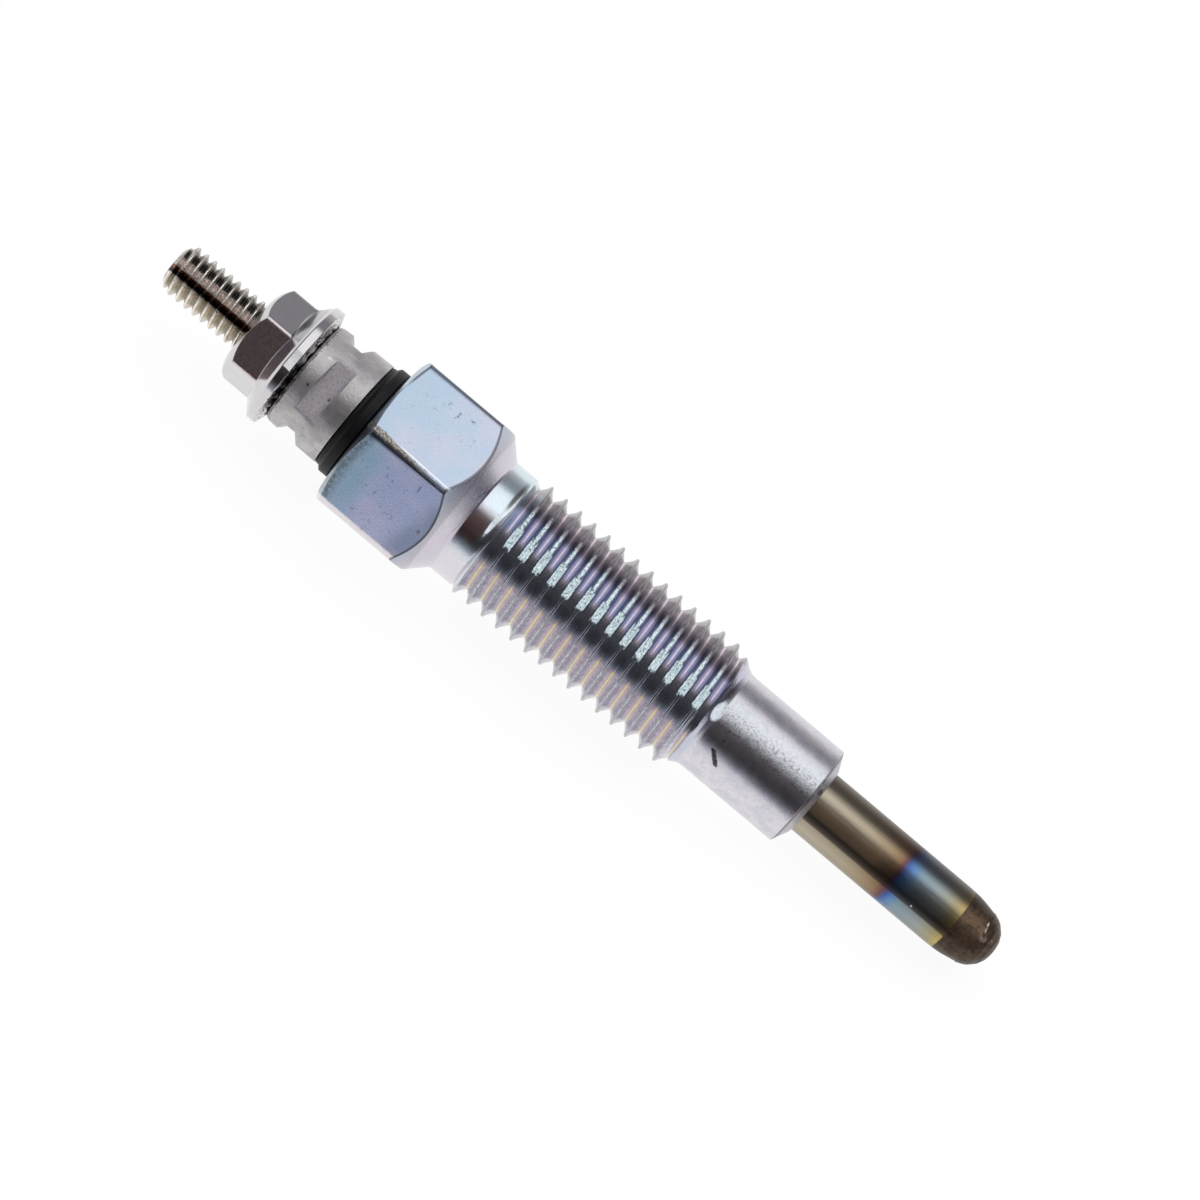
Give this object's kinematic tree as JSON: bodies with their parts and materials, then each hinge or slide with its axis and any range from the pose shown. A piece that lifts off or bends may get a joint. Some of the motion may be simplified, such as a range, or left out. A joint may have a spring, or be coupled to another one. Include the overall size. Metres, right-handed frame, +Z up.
{
  "type": "diesel glow plug",
  "caption": "Metal-sheathed diesel glow plug with a flange-nut terminal, crimped sleeve, hexagon head, threaded body, conical seat and heat-tinted heating tube.",
  "frame": {"origin": "centre of the bounding box on the ground plane, under the plug as it lies", "axes": "+X along the plug towards the heating tip, which dips 3 degrees as the plug lies on the hexagon's lowest flat edge and its last full thread crest; +Z up; +Y across"},
  "size_m": [0.0714, 0.0136, 0.0121],
  "materials": {
    "rod_nickel": "thin nickel plate over rolled steel, warm tint",
    "bright_nickel": "bright nickel plate",
    "matte_nickel": "dull tumbled nickel plate",
    "black_insulator": "satin black moulding",
    "black_rubber": "matt rubber",
    "blue_zinc": "blue passivated zinc plate with a slight rainbow sheen",
    "heat_tinted_alloy": "nickel alloy tube with straw, purple and blue heat tints and a brown tip",
    "control_wire": "drawn resistance wire",
    "heating_wire": "drawn resistance wire, slightly oxidised",
    "magnesia": "compacted white powder"
  },
  "bodies": {
    "root": {"centre_rod": "rod_nickel", "terminal_nut": "bright_nickel", "crimp_sleeve": "matte_nickel", "insulating_washer": "black_insulator", "o_ring": "black_rubber", "housing": "blue_zinc", "glow_tube": "heat_tinted_alloy", "tube_seal": "black_rubber", "control_coil": "control_wire", "heating_coil": "heating_wire", "magnesia_filling": "magnesia"}
  },
  "joints": []
}
